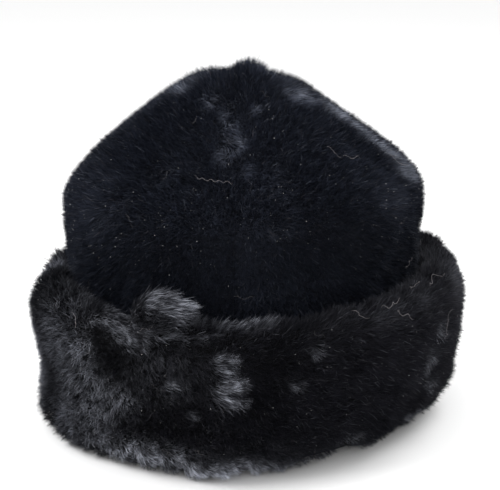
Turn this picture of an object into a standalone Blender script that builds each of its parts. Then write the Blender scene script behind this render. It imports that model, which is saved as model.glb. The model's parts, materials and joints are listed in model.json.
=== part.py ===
"""Cossack hat: a soft crown of four gores and a turned-up cuff, both of deep black pile.

The hat rests on its cuff. X runs across it, Y from front (-) to back (+) and Z up, in metres.
An angle round the hat is counted in degrees from the front towards +X, the wearer's left side.
The origin lies under the middle of the hat's box, at the height of the surface it stands on.
"""
import math
from collections import namedtuple

import bmesh
import bpy
from mathutils import Vector

MM = 0.001

# Head oval, which is the inner face of the hat, and the room left between pieces
HEAD_HALF_WIDTH = 82.8 * MM
HEAD_HALF_LENGTH = 98.2 * MM
GAP = 0.3 * MM

# Locks of pile, in staggered rows whose tips stand proud of the next row's roots
LOCK_DEPTH = 4.0 * MM
LOCK_SIDE_SHARE = 0.6
LOCK_ROW_START = 0.25

# Crown: its wall is backing cloth and pile together, and each seam lies in a groove of the pile
CROWN_WALL = 13.9 * MM
CROWN_OUTSIDE_COLUMNS = 16
CROWN_INSIDE_COLUMNS = 8
CROWN_LOCK_ROWS = 11
CROWN_INSIDE_ROWS = 10
HALF_GORE = 45.0
GORE_PUFF = 3.0 * MM
PUFF_RISE = 30.0 * MM
SEAM_GROOVE_DEPTH = 3.5 * MM
SEAM_GROOVE_WIDTH = 7.0 * MM
LOCKS_FULL_SPREAD = 0.25
GROOVE_FULL_SPREAD = 0.12
WALL_TOP = 124.0 * MM
TIP_HEIGHT = 208.0 * MM
TIP_LEAN = 6.0 * MM
TIP_LEAN_ANGLE = -45.0

# Cuff: a padded band folded up round the crown, with a foot under the crown's hem
CUFF_LOCKS_ROUND = 60
CUFF_LOCK_ROWS = 8
CUFF_PLAIN_COLUMNS = 60
FOLD_OUT = CROWN_WALL + 2 * GAP
FOLD_MIDDLE = 50.0 * MM
FOOT_HEIGHT = 6.0 * MM
FOOT_INSET = 1.5 * MM
FOOT_ROUND = 0.5 * MM
FULLER_SIDE = 3.5 * MM
FULLER_SIDE_ANGLE = 135.0

HEM_HEIGHT = FOOT_HEIGHT + GAP
CURVE_STEPS = 8

# Crown sections by height: the spread is the share of the full oval, outside and inside
CrownSection = namedtuple("CrownSection", "place height spread")
CROWN_OUTSIDE = [
    CrownSection("wall behind the cuff", 88.0 * MM, 1.000),
    CrownSection("wall", 108.0 * MM, 1.008),
    CrownSection("wall top", WALL_TOP, 1.010),
    CrownSection("shoulder", 137.0 * MM, 0.990),
    CrownSection("slope start", 148.0 * MM, 0.925),
    CrownSection("slope", 166.0 * MM, 0.725),
    CrownSection("slope end", 186.0 * MM, 0.470),
    CrownSection("tip side", 197.0 * MM, 0.310),
    CrownSection("tip shoulder", 201.0 * MM, 0.200),
    CrownSection("knob foot", 202.5 * MM, 0.110),
    CrownSection("knob side", 206.0 * MM, 0.055),
    CrownSection("knob top", TIP_HEIGHT, 0.000),
]
CROWN_INSIDE = [
    CrownSection("hem", HEM_HEIGHT, 1.000),
    CrownSection("wall", 70.0 * MM, 1.000),
    CrownSection("wall top", 116.0 * MM, 0.995),
    CrownSection("shoulder", 127.0 * MM, 0.950),
    CrownSection("slope start", 137.0 * MM, 0.845),
    CrownSection("slope", 158.0 * MM, 0.570),
    CrownSection("slope end", 177.0 * MM, 0.310),
    CrownSection("tip side", 188.0 * MM, 0.140),
    CrownSection("tip", 192.0 * MM, 0.000),
]

# Cuff section: how far each place stands out from the head oval, and its height
CuffPlace = namedtuple("CuffPlace", "place out height")
CUFF_OUTSIDE = [
    CuffPlace("edge of the resting face", 14.0 * MM, 0.0),
    CuffPlace("lower round", 22.5 * MM, 6.5 * MM),
    CuffPlace("lower side", 28.5 * MM, 18.0 * MM),
    CuffPlace("side", 33.5 * MM, 38.0 * MM),
    CuffPlace("fullest", 37.0 * MM, 64.0 * MM),
    CuffPlace("upper side", 35.5 * MM, 77.0 * MM),
    CuffPlace("upper round", 30.5 * MM, 88.0 * MM),
    CuffPlace("crest", 23.0 * MM, 93.0 * MM),
    CuffPlace("crest inside", 17.5 * MM, 92.0 * MM),
    CuffPlace("meets the crown", FOLD_OUT, 87.0 * MM),
]
CUFF_HIDDEN = [
    CuffPlace("inside the fold", FOLD_OUT, FOLD_MIDDLE),
    CuffPlace("foot corner", FOLD_OUT, FOOT_HEIGHT),
    CuffPlace("foot top", FOOT_ROUND, FOOT_HEIGHT),
    CuffPlace("foot edge", 0.0, FOOT_HEIGHT - FOOT_INSET),
    CuffPlace("lower edge", 0.0, FOOT_INSET),
    CuffPlace("resting face", FOOT_INSET, 0.0),
]

# Soft dents and tufts: where they are, how wide they reach and how far they go in (-) or out
Dent = namedtuple("Dent", "place angle height reach out")
CUFF_DENTS = [
    Dent("join of the band", 77.0, 4.0 * MM, 9.0 * MM, -5.0 * MM),
    Dent("tuft on the crest", 26.0, 99.0 * MM, 13.0 * MM, 7.0 * MM),
    Dent("press beside the join", 62.0, 40.0 * MM, 24.0 * MM, -2.0 * MM),
    Dent("hollow at the front", 8.0, 52.0 * MM, 26.0 * MM, -2.0 * MM),
    Dent("full lower corner", -40.0, 5.0 * MM, 42.0 * MM, 6.5 * MM),
    Dent("lifted lower edge", 88.0, 0.0, 34.0 * MM, -3.5 * MM),
    Dent("raised crest", -24.0, 92.0 * MM, 34.0 * MM, 5.0 * MM),
    Dent("lowered crest", 48.0, 94.0 * MM, 44.0 * MM, -3.0 * MM),
    Dent("full side", 132.0, 28.0 * MM, 26.0 * MM, 3.0 * MM),
]
CROWN_DENTS = [
    Dent("crease under the shoulder", 40.0, 126.0 * MM, 20.0 * MM, -2.5 * MM),
    Dent("crease at the side", 72.0, 124.0 * MM, 16.0 * MM, -2.0 * MM),
    Dent("sunk slope at the front", 10.0, 160.0 * MM, 22.0 * MM, -2.5 * MM),
]

Gore = namedtuple("Gore", "name middle")
GORES = [
    Gore("crown_gore_front", 0.0),
    Gore("crown_gore_left", 90.0),
    Gore("crown_gore_back", 180.0),
    Gore("crown_gore_right", 270.0),
]

CROWN_COLOUR = (0.006, 0.007, 0.010, 1.0)
CUFF_COLOUR = (0.010, 0.011, 0.014, 1.0)
PILE_ROUGHNESS = 0.75


def clear_scene():
    for item in list(bpy.data.objects):
        bpy.data.objects.remove(item, do_unlink=True)


def pile_material(name, colour):
    material = bpy.data.materials.new(name)
    material.use_nodes = True
    shader = material.node_tree.nodes["Principled BSDF"]
    shader.inputs["Base Color"].default_value = colour
    shader.inputs["Roughness"].default_value = PILE_ROUGHNESS
    shader.inputs["Metallic"].default_value = 0.0
    return material


def oval_point(angle, half_width, half_length, height):
    """A point on an oval ring, at an angle counted from the front."""
    turn = math.radians(angle)
    return Vector((half_width * math.sin(turn), -half_length * math.cos(turn), height))


def smooth_curve(points):
    """Catmull-Rom curve through 2D points, with both ends kept."""
    ends = [points[0] * 2 - points[1]] + points + [points[-1] * 2 - points[-2]]
    curve = []
    for i in range(1, len(ends) - 2):
        before, start, end, after = ends[i - 1:i + 3]
        for step in range(CURVE_STEPS):
            s = step / CURVE_STEPS
            curve.append(0.5 * (
                2 * start + (end - before) * s
                + (2 * before - 5 * start + 4 * end - after) * s ** 2
                + (3 * start - before - 3 * end + after) * s ** 3
            ))
    curve.append(points[-1])
    return curve


def even_points(curve, count):
    """Points at equal distances along a curve."""
    reach = [0.0]
    for a, b in zip(curve, curve[1:]):
        reach.append(reach[-1] + (b - a).length)
    result = []
    i = 0
    for k in range(count + 1):
        target = reach[-1] * k / count
        while i < len(curve) - 2 and reach[i + 1] < target:
            i += 1
        part = (target - reach[i]) / (reach[i + 1] - reach[i])
        result.append(curve[i].lerp(curve[i + 1], min(part, 1.0)))
    return result


def outward_normals(points):
    """Normals of a 2D profile that runs upwards with its outer side on the right."""
    normals = []
    for i in range(len(points)):
        along = points[min(i + 1, len(points) - 1)] - points[max(i - 1, 0)]
        normals.append(Vector((along.y, -along.x)).normalized())
    return normals


def lean(height):
    """The sideways lean of the soft crown, which grows from the top of its wall to its tip."""
    share = max(0.0, height - WALL_TOP) / (TIP_HEIGHT - WALL_TOP)
    return oval_point(TIP_LEAN_ANGLE, TIP_LEAN, TIP_LEAN, 0.0) * share


def lock_dip(down, across):
    """How far the pile dips below its outer form, for a place counted in locks."""
    row = math.floor(down)
    rise = down - row
    side = 0.5 - 0.5 * math.cos(2 * math.pi * (across + 0.5 * (row % 2)))
    return LOCK_DEPTH * (LOCK_SIDE_SHARE * side + (1 - LOCK_SIDE_SHARE) * (1 - rise))


def dent_out(dents, angle, height, radius):
    """The sum of the soft dents and tufts at a place on the hat."""
    total = 0.0
    for dent in dents:
        turn = (angle - dent.angle + 180.0) % 360.0 - 180.0
        across = math.radians(turn) * radius
        distance = math.hypot(across, height - dent.height) / dent.reach
        total += dent.out * math.exp(-distance ** 2)
    return total


def add_grid(mesh, rows, closed):
    """Faces between rows of points; a row of one point closes the grid to a tip."""
    made = [[mesh.verts.new(point) for point in row] for row in rows]
    for low, high in zip(made, made[1:]):
        count = max(len(low), len(high))
        for i in range(count if closed else count - 1):
            j = (i + 1) % count
            corners = [low[i % len(low)], low[j % len(low)], high[j % len(high)], high[i % len(high)]]
            kept = [v for n, v in enumerate(corners) if v not in corners[:n]]
            mesh.faces.new(kept)
    return made


def zip_chains(mesh, first, second, closed=False):
    """Triangles between two chains of vertices that may differ in number, by the shorter way."""
    if closed:
        first = first + first[:1]
        second = second + second[:1]
    i = j = 0
    while i < len(first) - 1 or j < len(second) - 1:
        first_way = (first[i + 1].co - second[j].co).length if i < len(first) - 1 else math.inf
        second_way = (second[j + 1].co - first[i].co).length if j < len(second) - 1 else math.inf
        if first_way <= second_way:
            mesh.faces.new([first[i], first[i + 1], second[j]])
            i += 1
        else:
            mesh.faces.new([first[i], second[j + 1], second[j]])
            j += 1


def finish_object(name, mesh, material):
    bmesh.ops.recalc_face_normals(mesh, faces=mesh.faces)
    data = bpy.data.meshes.new(name)
    mesh.to_mesh(data)
    mesh.free()
    data.shade_smooth()
    data.materials.append(material)
    item = bpy.data.objects.new(name, data)
    bpy.context.scene.collection.objects.link(item)
    return item


def crown_stations(sections, full_radius, count):
    """Evenly spaced places up a crown profile, as distance from the middle and height."""
    profile = [Vector((s.spread * full_radius, s.height)) for s in sections]
    stations = even_points(smooth_curve(profile), count)
    stations[-1].x = 0.0
    return stations


def gore_angles(gore, columns):
    return [gore.middle + HALF_GORE * (2 * i / columns - 1) for i in range(columns + 1)]


def gore_relief(gore, angle, station, spread, down, across):
    """How far the crown's pile stands out: puffed gores, seam grooves, dents and locks."""
    from_seam = math.radians(HALF_GORE - abs(angle - gore.middle)) * station.x
    groove = math.exp(-(from_seam / SEAM_GROOVE_WIDTH) ** 2)
    rise = min(1.0, max(0.0, station.y - WALL_TOP) / PUFF_RISE)
    puff = GORE_PUFF * rise * math.cos(math.radians((angle - gore.middle) * 90.0 / HALF_GORE))
    locks = lock_dip(down, across) * (1 - groove) * min(1.0, spread / LOCKS_FULL_SPREAD)
    seam = SEAM_GROOVE_DEPTH * groove * min(1.0, spread / GROOVE_FULL_SPREAD)
    return puff - locks - seam + dent_out(CROWN_DENTS, angle, station.y, station.x)


def gore_outside(gore):
    """Rows of points on the pile face: a plain wall behind the cuff, then locks up to the tip."""
    half_width = HEAD_HALF_WIDTH + CROWN_WALL
    half_length = HEAD_HALF_LENGTH + CROWN_WALL
    full_radius = (half_width + half_length) / 2
    stations = crown_stations(CROWN_OUTSIDE, full_radius, 2 * CROWN_LOCK_ROWS)
    normals = outward_normals(stations)
    angles = gore_angles(gore, CROWN_OUTSIDE_COLUMNS)
    rows = [
        [oval_point(a, half_width, half_length, height) for a in angles]
        for height in (HEM_HEIGHT, stations[0].y)
    ]
    for n in range(1, len(stations) - 1):
        station, normal = stations[n], normals[n]
        spread = station.x / full_radius
        down = (len(stations) - 1 - n) / 2 + LOCK_ROW_START
        row = []
        for i, angle in enumerate(angles):
            out = gore_relief(gore, angle, station, spread, down, i / 2)
            row.append(lean(station.y) + oval_point(
                angle,
                half_width * spread + normal.x * out,
                half_length * spread + normal.x * out,
                station.y + normal.y * out,
            ))
        rows.append(row)
    rows.append([lean(TIP_HEIGHT) + Vector((0.0, 0.0, TIP_HEIGHT))])
    return rows


def gore_inside(gore):
    """Rows of points on the smooth backing, from the hem to the tip."""
    full_radius = (HEAD_HALF_WIDTH + HEAD_HALF_LENGTH) / 2
    stations = crown_stations(CROWN_INSIDE, full_radius, CROWN_INSIDE_ROWS)
    angles = gore_angles(gore, CROWN_INSIDE_COLUMNS)
    rows = []
    for station in stations[:-1]:
        spread = station.x / full_radius
        half_width = HEAD_HALF_WIDTH * spread
        half_length = HEAD_HALF_LENGTH * spread
        rows.append([
            lean(station.y) + oval_point(a, half_width, half_length, station.y) for a in angles
        ])
    rows.append([lean(stations[-1].y) + Vector((0.0, 0.0, stations[-1].y))])
    return rows


def seam_room(gore):
    """The small move along a gore's middle that leaves the gap open at both of its seams."""
    middle = oval_point(gore.middle, 1.0, 1.0, 0.0)
    seam = oval_point(gore.middle + HALF_GORE, HEAD_HALF_WIDTH, HEAD_HALF_LENGTH, 0.0)
    sine = abs(middle.cross(seam.normalized()).z)
    return middle * (GAP / 2 / sine)


def make_gore(gore, material):
    mesh = bmesh.new()
    outside = add_grid(mesh, gore_outside(gore), closed=False)
    inside = add_grid(mesh, gore_inside(gore), closed=False)
    zip_chains(mesh, outside[0], inside[0])
    for side in (0, -1):
        zip_chains(mesh, [row[side] for row in outside], [row[side] for row in inside])
    item = finish_object(gore.name, mesh, material)
    item.location = seam_room(gore)
    return item


def cuff_outside_rows():
    """The pile face of the cuff, from its resting edge up and over the crest to the crown."""
    mean_half = (HEAD_HALF_WIDTH + HEAD_HALF_LENGTH) / 2
    profile = [Vector((p.out, p.height)) for p in CUFF_OUTSIDE]
    stations = even_points(smooth_curve(profile), 2 * CUFF_LOCK_ROWS)
    normals = outward_normals(stations)
    columns = 2 * CUFF_LOCKS_ROUND
    last = len(stations) - 1
    rows = []
    for n, (station, normal) in enumerate(zip(stations, normals)):
        down = (last - n) / 2 + LOCK_ROW_START
        row = []
        for i in range(columns):
            angle = 360.0 * i / columns
            out = dent_out(CUFF_DENTS, angle, station.y, mean_half + station.x)
            out += FULLER_SIDE * math.cos(math.radians(angle - FULLER_SIDE_ANGLE)) * normal.x
            out -= lock_dip(down, i / 2)
            if n == last - 1:
                out = min(out, 0.0)
            if n in (0, last):
                out = 0.0
            row.append(oval_point(
                angle,
                HEAD_HALF_WIDTH + station.x + normal.x * out,
                HEAD_HALF_LENGTH + station.x + normal.x * out,
                max(station.y + normal.y * out, 0.0),
            ))
        rows.append(row)
    return rows


def cuff_hidden_rows():
    """The faces inside the fold, over the foot, and down to the inner edge of the resting face."""
    angles = [360.0 * i / CUFF_PLAIN_COLUMNS for i in range(CUFF_PLAIN_COLUMNS)]
    return [
        [oval_point(a, HEAD_HALF_WIDTH + p.out, HEAD_HALF_LENGTH + p.out, p.height) for a in angles]
        for p in CUFF_HIDDEN
    ]


def make_cuff(material):
    mesh = bmesh.new()
    outside = add_grid(mesh, cuff_outside_rows(), closed=True)
    hidden = add_grid(mesh, cuff_hidden_rows(), closed=True)
    zip_chains(mesh, outside[-1], hidden[0], closed=True)
    zip_chains(mesh, outside[0], hidden[-1], closed=True)
    return finish_object("cuff", mesh, material)


def centre_on_origin(items):
    """Moves the pieces together so that the middle of their box stands over the origin."""
    points = [v.co + item.location for item in items for v in item.data.vertices]
    middle = Vector((0.0, 0.0, 0.0))
    for axis in (0, 1):
        along = [p[axis] for p in points]
        middle[axis] = (min(along) + max(along)) / 2
    for item in items:
        item.location -= middle


clear_scene()
crown_pile = pile_material("crown_pile", CROWN_COLOUR)
cuff_pile = pile_material("cuff_pile", CUFF_COLOUR)
pieces = [make_gore(gore, crown_pile) for gore in GORES]
pieces.append(make_cuff(cuff_pile))
centre_on_origin(pieces)
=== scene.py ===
# Looks of a soft cossack hat: deep dark pile over four crown gores and a turned-up cuff.
# Tables and sizes are in millimetres, and turned to metres where a mesh is made. The settings of
# the pile's tree, the materials, the floor, the lamps and the camera are in metres.
# Angles go round the hat in degrees, from the front (-Y) towards the wearer's left (+X).
import json
import math

import bmesh
import bpy
import numpy as np
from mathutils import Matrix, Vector

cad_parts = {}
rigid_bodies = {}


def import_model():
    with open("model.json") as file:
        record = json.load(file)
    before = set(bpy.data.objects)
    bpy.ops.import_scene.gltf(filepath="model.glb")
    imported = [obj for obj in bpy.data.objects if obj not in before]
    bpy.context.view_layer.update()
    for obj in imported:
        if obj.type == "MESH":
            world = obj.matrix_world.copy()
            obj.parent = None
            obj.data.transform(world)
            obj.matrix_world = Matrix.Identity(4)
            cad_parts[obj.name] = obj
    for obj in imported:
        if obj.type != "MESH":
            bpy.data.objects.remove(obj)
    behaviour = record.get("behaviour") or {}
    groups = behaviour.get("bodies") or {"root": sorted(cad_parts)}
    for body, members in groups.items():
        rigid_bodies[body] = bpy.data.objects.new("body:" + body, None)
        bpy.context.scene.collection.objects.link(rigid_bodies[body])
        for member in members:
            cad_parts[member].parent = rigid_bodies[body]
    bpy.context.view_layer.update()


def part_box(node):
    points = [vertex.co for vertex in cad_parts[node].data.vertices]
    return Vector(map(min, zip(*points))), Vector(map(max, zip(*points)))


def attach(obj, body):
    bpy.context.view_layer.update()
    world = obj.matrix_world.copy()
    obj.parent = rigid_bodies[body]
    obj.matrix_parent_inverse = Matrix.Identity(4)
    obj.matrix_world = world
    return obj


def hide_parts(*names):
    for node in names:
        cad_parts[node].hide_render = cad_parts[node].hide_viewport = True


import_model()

mm = 0.001
anyPhase = 6.3  # random phases are drawn from 0 to this, near enough a whole turn
crownSeeds = {"turn": 11, "light": 12, "wild": 13, "lumps": 14}
cuffSeeds = {"turn": 21, "light": 22, "wild": 23, "lumps": 24, "edge": 31}
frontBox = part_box("crown_gore_front")
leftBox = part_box("crown_gore_left")
ovalMiddle = np.array([
    (frontBox[0].x + frontBox[1].x) / 2,
    (leftBox[0].y + leftBox[1].y) / 2,
    0.0,
])

headOval = {"halfWidth": 82.8, "halfLength": 98.2}
goreHalf = 45.0  # half of a gore's turn round the hat
seamRoom = 0.3
seamShare = 0.75  # of the seam's room, that each gore stands out by

# Crown: one row for each section, with the pile's outer form and the backing that it grows from,
# each as a height and a share of the full oval
crownShape = {
    "wall": 13.9,
    "wallTop": 124.0,
    "tipHeight": 208.0,
    "tipLean": 6.0,
    "tipLeanAngle": -45.0,
    "gorePuff": 3.0,
    "puffRise": 30.0,
    "seamDepth": 3.5,
    "seamWidth": 7.0,
    "lockRows": 11,
    "lockDepth": 1.8,
    "lockAngle": 11.25,
    "lumps": 0.5,
    "tipCalm": 0.25,  # share of the full oval inside which locks and lumps fade out
    "seamEnd": 0.12,  # share of it inside which the seams fade out
    "tipRoom": 6.0,
    "backingRelief": 0.7,  # share of the pile's relief that the backing follows
    "backingSeam": 0.3,
    "pileFrom": 84.0,
    "rows": 44,
    "columns": 40,
    "insideRows": 16,
    "insideColumns": 12,
    "strandRows": 60,
    "strandColumns": 64,
    "sections": [
        # place, pile height, pile spread, backing height, backing spread
        ("hem", 6.3, 1.000, 6.3, 0.919),
        ("wall behind the cuff", 60.0, 1.000, 60.0, 0.919),
        ("wall over the cuff", 88.0, 1.000, 88.0, 0.919),
        ("wall", 108.0, 1.008, 108.0, 0.926),
        ("wall top", 124.0, 1.010, 123.0, 0.927),
        ("shoulder", 137.0, 0.990, 133.0, 0.906),
        ("slope start", 148.0, 0.925, 142.0, 0.850),
        ("slope", 166.0, 0.725, 159.5, 0.660),
        ("slope end", 186.0, 0.470, 179.5, 0.410),
        ("tip side", 197.0, 0.310, 189.5, 0.255),
        ("tip shoulder", 201.0, 0.200, 193.5, 0.160),
        ("knob foot", 203.5, 0.110, 196.0, 0.090),
        ("knob side", 206.0, 0.055, 197.2, 0.045),
        ("knob top", 208.0, 0.000, 197.6, 0.000),
    ],
    "inside": [
        # place, height, share of the head oval
        ("hem", 6.3, 1.000),
        ("wall", 70.0, 1.000),
        ("wall top", 116.0, 0.995),
        ("shoulder", 127.0, 0.950),
        ("slope start", 137.0, 0.845),
        ("slope", 158.0, 0.570),
        ("slope end", 177.0, 0.310),
        ("tip side", 188.0, 0.140),
        ("tip", 192.0, 0.000),
    ],
    "dents": [
        # place, angle, height, reach, out
        ("crease under the shoulder", 40, 126, 20, -2.5),
        ("crease at the side", 72, 124, 16, -2.0),
        ("sunk slope at the front", 10, 160, 22, -2.0),
        ("full slope at the front", -45, 172, 38, 3.4),
        ("full shoulder at the back", 130, 148, 28, 5.0),
        ("full slope beside the tip", 125, 192, 18, 4.0),
    ],
    "tipTufts": [
        # place, x, y, reach, up
        ("flat top", -4, -4, 6, -2.6),
        ("knob", 3, 6, 11, 2.8),
        ("lobe towards the front", -20, -20, 8, 2.4),
        ("lobe towards the back", 21, 21, 9, 2.6),
        ("dip before the knob", -9, -9, 7, -5.0),
        ("dip beyond it", -15, -5, 8, -3.0),
        ("dip behind the knob", 10, 16, 8, -6.5),
        ("dip beside it", 16, 8, 6, -3.0),
    ],
}
gores = [("front", 0.0), ("left", 90.0), ("back", 180.0), ("right", 270.0)]

# Cuff: how far the pile and its backing stand out from the head oval, and their heights
cuffShape = {
    "foldOut": 14.5,
    "lockRows": 8,
    "lockDepth": 1.8,
    "lockAngle": 6.0,
    "lumps": 1.2,
    "fullerSide": 3.5,
    "fullerSideAngle": 135.0,
    "heldFrom": 3.0,  # this far from the fold and nearer, the relief is held in
    "heldTo": 0.7,
    "reliefRise": 12.0,  # the relief is full from a twelfth of the way up
    "backingRelief": 0.8,
    "backingLowest": 0.4,
    "rows": 44,
    "columns": 200,
    "hiddenColumns": 100,
    "strandRows": 60,
    "strandColumns": 100,
    "sections": [
        # place, pile out, pile height, backing out, backing height
        ("edge of the resting face", 17.0, 0.4, 13.0, 0.4),
        ("lower round", 22.5, 6.5, 17.0, 5.0),
        ("lower side", 28.5, 18.0, 20.5, 15.5),
        ("side", 33.5, 38.0, 24.8, 37.0),
        ("fullest", 37.0, 64.0, 28.2, 63.5),
        ("upper side", 35.5, 77.0, 27.5, 74.0),
        ("upper round", 30.5, 88.0, 25.0, 80.5),
        ("crest", 23.0, 93.0, 21.5, 83.5),
        ("crest inside", 16.5, 92.5, 18.0, 83.5),
        ("meets the crown", 13.0, 88.5, 15.4, 80.5),
    ],
    "hidden": [
        # place, out, height
        ("inside the fold", 14.5, 50.0),
        ("foot corner", 14.5, 6.0),
        ("foot top", 0.5, 6.0),
        ("foot edge", 0.0, 4.5),
        ("lower edge", 0.0, 1.5),
        ("resting face", 1.5, 0.0),
        ("resting edge", 12.0, 0.0),
    ],
    "dents": [
        # place, angle, height, reach, out
        ("join of the band", 79, 4, 8, -8.0),
        ("tuft on the crest, left", 20.5, 97, 8, 18.0),
        ("tuft on the crest, middle", 25.5, 97, 8, 12.0),
        ("tuft on the crest, right", 30, 97, 8, 12.5),
        ("crest beside the tuft", 47, 95, 15, 3.0),
        ("raised crest at the back", 150, 96, 14, 4.0),
        ("press beside the join", 62, 40, 24, -2.0),
        ("hollow at the front", 8, 52, 26, -2.0),
        ("full lower corner", -30, 0, 28, 15.0),
        ("tucked corner", -35, 0, 10, -9.5),
        ("tucked corner, front", -27, 0, 8, -4.0),
        ("full lower edge, left", -6, 2, 24, 7.0),
        ("full lower edge, front", 36, 2, 26, 5.0),
        ("lifted lower edge", 88, 0, 24, -4.0),
        ("hairs against the crown", -47, 100, 9, 12.0),
        ("slack under them", -47, 82, 10, -2.5),
        ("raised crest", -24, 92, 34, 6.5),
        ("lowered crest", 48, 94, 44, -3.0),
        ("full side", 126, 22, 26, 3.8),
        ("full upper side", 134, 84, 36, 2.4),
    ],
    "lifts": [
        # place, angle, width of it as an angle, up
        ("edge at the left corner", -35, 9, 4.5),
        ("edge beside the join", 74, 10, 5.0),
        ("join of the band", 79, 3, 5.0),
        ("edge at the side", 112, 16, 6.0),
        ("edge at the back", 215, 20, 1.5),
    ],
    "liftedUpTo": 30.0,
    "raggedEdge": 3.0,
    "fringe": 0.6,  # share of a lift that the pile's outer face gets, so that strands hang
}


def smoothCurve(rows, steps=10):
    # Catmull-Rom through the rows of a table, with both ends kept
    rows = np.array(rows, float)
    ends = np.vstack([2 * rows[0] - rows[1], rows, 2 * rows[-1] - rows[-2]])
    s = np.linspace(0, 1, steps, endpoint=False)[:, None]
    parts = []
    for before, start, end, after in zip(ends, ends[1:], ends[2:], ends[3:]):
        parts.append(0.5 * (
            2 * start + (end - before) * s
            + (2 * before - 5 * start + 4 * end - after) * s ** 2
            + (3 * start - before - 3 * end + after) * s ** 3
        ))
    return np.vstack(parts + [rows[-1:]])


def evenRows(curve, along, across, count):
    # rows at equal distances, measured by two of the columns
    steps = np.hypot(np.diff(curve[:, along]), np.diff(curve[:, across]))
    reach = np.concatenate([[0.0], np.cumsum(steps)])
    places = np.linspace(0.0, reach[-1], count + 1)
    return np.column_stack([np.interp(places, reach, column) for column in curve.T])


def profileNormals(out, height):
    dOut, dHeight = np.gradient(out), np.gradient(height)
    size = np.hypot(dOut, dHeight) + 1e-9
    return dHeight / size, -dOut / size


def dentsAt(dents, angle, height, radius):
    total = np.zeros(np.broadcast(angle, height).shape)
    for place, dentAngle, dentHeight, reach, out in dents:
        turn = (angle - dentAngle + 180.0) % 360.0 - 180.0
        away = (np.radians(turn) * radius) ** 2 + (height - dentHeight) ** 2
        total = total + out * np.exp(-away / reach ** 2)
    return total


def softWaves(angle, height, seed, slowest=1, fastest=9, steepest=0.09, waves=6):
    # a smooth random field from about -1 to 1, the same on each run
    draw = np.random.default_rng(seed)
    total = np.zeros(np.broadcast(angle, height).shape)
    for n in range(waves):
        timesRound = draw.integers(slowest, fastest)
        perHeight = draw.uniform(-steepest, steepest)
        phase = draw.uniform(0, anyPhase)
        total += np.sin(np.radians(angle) * timesRound + height * perHeight + phase)
    return total / math.sqrt(waves)


def lockRise(down, across):
    # 0 between the locks and 1 on the tip of a lock, in staggered rows
    sideShare = 0.6
    row = np.floor(down)
    side = 0.5 + 0.5 * np.cos(2 * math.pi * (across + 0.5 * (row % 2)))
    return sideShare * side + (1 - sideShare) * (down - row)


def leanAt(height):
    share = np.clip(height - crownShape["wallTop"], 0, None)
    share = share / (crownShape["tipHeight"] - crownShape["wallTop"])
    turn = math.radians(crownShape["tipLeanAngle"])
    reach = crownShape["tipLean"] * share
    return reach * math.sin(turn), -reach * math.cos(turn)


def ovalPoints(angle, halfWidth, halfLength, height):
    turn = np.radians(angle)
    grid = np.broadcast_arrays(halfWidth * np.sin(turn), -halfLength * np.cos(turn), height)
    return np.stack(grid, axis=-1)


def crownFaces(middle, rows, columns, lowest=None):
    # the pile's outer face and its backing for one gore, as grids of points in mm
    halfWidth = headOval["halfWidth"] + crownShape["wall"]
    halfLength = headOval["halfLength"] + crownShape["wall"]
    full = (halfWidth + halfLength) / 2
    table = np.array([section[1:] for section in crownShape["sections"]])
    table[:, 1] *= full
    table[:, 3] *= full
    curve = smoothCurve(table)
    if lowest is not None:
        curve = curve[curve[:, 2] >= lowest]
    even = evenRows(curve, 3, 2, rows)
    pileHeight, pileOut, backHeight, backOut = [column[:, None] for column in even.T]
    normalOut, normalUp = [n[:, None] for n in profileNormals(even[:, 1], even[:, 0])]
    angle = middle + goreHalf * np.linspace(-1.0, 1.0, columns + 1)[None, :]

    fromSeam = np.radians(goreHalf - np.abs(angle - middle)) * pileOut
    groove = np.exp(-(fromSeam / crownShape["seamWidth"]) ** 2)
    rise = np.clip((pileHeight - crownShape["wallTop"]) / crownShape["puffRise"], 0, 1)
    puff = crownShape["gorePuff"] * rise * np.cos(np.radians(2 * (angle - middle)))
    dents = dentsAt(crownShape["dents"], angle, pileHeight, pileOut)
    tipFade = np.clip(pileOut / full / crownShape["tipCalm"], 0, 1)
    down = np.linspace(crownShape["lockRows"], 0.0, rows + 1)[:, None]
    locks = lockRise(down, angle / crownShape["lockAngle"]) - 1
    locks = crownShape["lockDepth"] * locks * (1 - groove) * tipFade
    seamFade = np.clip(pileOut / full / crownShape["seamEnd"], 0, 1)
    seam = crownShape["seamDepth"] * groove * seamFade

    def place(out, height, relief, tufts):
        share = out / full
        reliefOut = relief * normalOut * np.clip(out / crownShape["tipRoom"], 0, 1)
        z = height + relief * normalUp
        points = ovalPoints(angle, halfWidth * share + reliefOut, halfLength * share + reliefOut, z)
        leanX, leanY = leanAt(points[..., 2])
        points[..., 0] += leanX
        points[..., 1] += leanY
        for tuft, x, y, reach, up in tufts:
            away = (points[..., 0] - x) ** 2 + (points[..., 1] - y) ** 2
            points[..., 2] += up * np.exp(-away / reach ** 2)
        return points

    relief = puff + dents
    seed = crownSeeds["lumps"]
    lumpy = softWaves(angle, pileHeight, seed, slowest=8, fastest=22, steepest=0.25, waves=8)
    lumps = crownShape["lumps"] * lumpy * tipFade
    pile = place(pileOut, pileHeight, relief + locks + lumps - seam, crownShape["tipTufts"])
    backRelief = crownShape["backingRelief"] * relief - crownShape["backingSeam"] * seam
    backing = place(backOut, backHeight, backRelief, [])
    return pile, backing, np.broadcast_to(angle, pile.shape[:2])


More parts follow.
